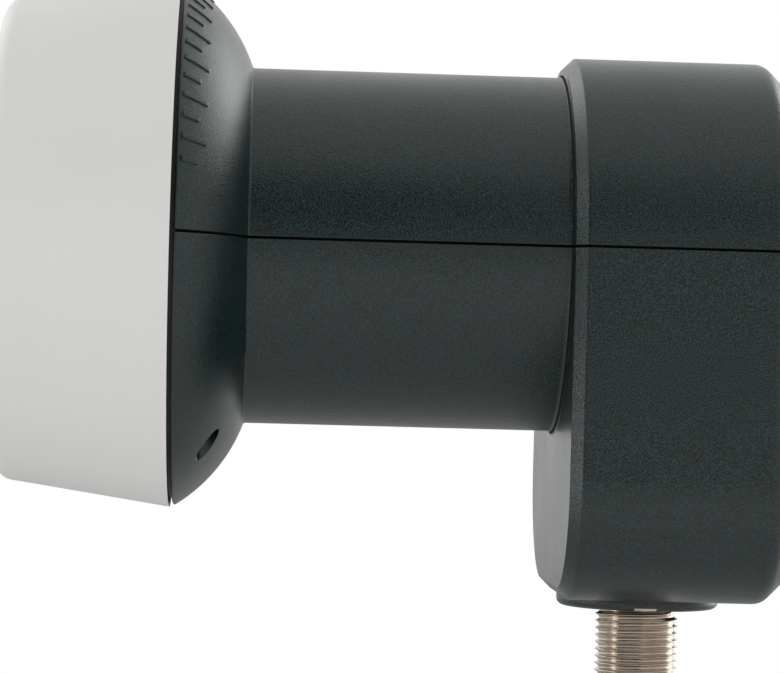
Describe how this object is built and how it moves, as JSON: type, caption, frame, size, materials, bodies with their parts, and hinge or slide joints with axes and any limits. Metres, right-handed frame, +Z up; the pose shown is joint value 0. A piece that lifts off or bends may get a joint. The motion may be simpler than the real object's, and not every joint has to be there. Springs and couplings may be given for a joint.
{
  "type": "satellite lnb",
  "caption": "Satellite dish LNB with a domed feed cap, a flared neck for a round clamp, a rounded circuit housing and a threaded coaxial connector pointing down.",
  "frame": {"origin": "on the axis of the round clamping neck, halfway along the neck", "axes": "+Z up, -X the way the horn looks, +X towards the circuit housing, -Z the way the connector points"},
  "size_m": [0.091, 0.0592, 0.0809],
  "materials": {
    "cap_plastic": "satin light grey moulded plastic",
    "shroud_plastic": "satin anthracite moulded plastic, fine grain",
    "black_rubber": "matt black rubber",
    "cast_metal": "bare die-cast metal",
    "board_laminate": "green microwave laminate",
    "grey_gasket": "matt grey elastomer",
    "screw_steel": "zinc plated steel",
    "absorber_rubber": "matt filled rubber",
    "nickel_plate": "bright nickel plate",
    "white_insulator": "white plastic",
    "contact_brass": "plated brass",
    "chip_black": "matt black moulding compound",
    "crystal_can": "plated metal lid",
    "inductor_ferrite": "dark ferrite",
    "capacitor_ceramic": "tan ceramic",
    "resistor_ceramic": "black coated ceramic"
  },
  "bodies": {
    "root": {"feed_cap": "cap_plastic", "upper_shell": "shroud_plastic", "lower_shell": "shroud_plastic", "cap_o_ring": "black_rubber", "horn_casting": "cast_metal", "circuit_board": "board_laminate", "rf_cover": "cast_metal", "cover_gasket": "grey_gasket", "cover_screws": "screw_steel", "absorber_pad": "absorber_rubber", "connector_body": "nickel_plate", "connector_insulator": "white_insulator", "connector_contact": "contact_brass", "connector_seal": "black_rubber", "downconverter_chip": "chip_black", "bias_controller": "chip_black", "reference_crystal": "crystal_can", "voltage_regulator": "chip_black", "lna_transistors": "chip_black", "surge_diode": "chip_black", "choke_inductors": "inductor_ferrite", "ceramic_capacitors": "capacitor_ceramic", "chip_resistors": "resistor_ceramic"}
  },
  "joints": []
}
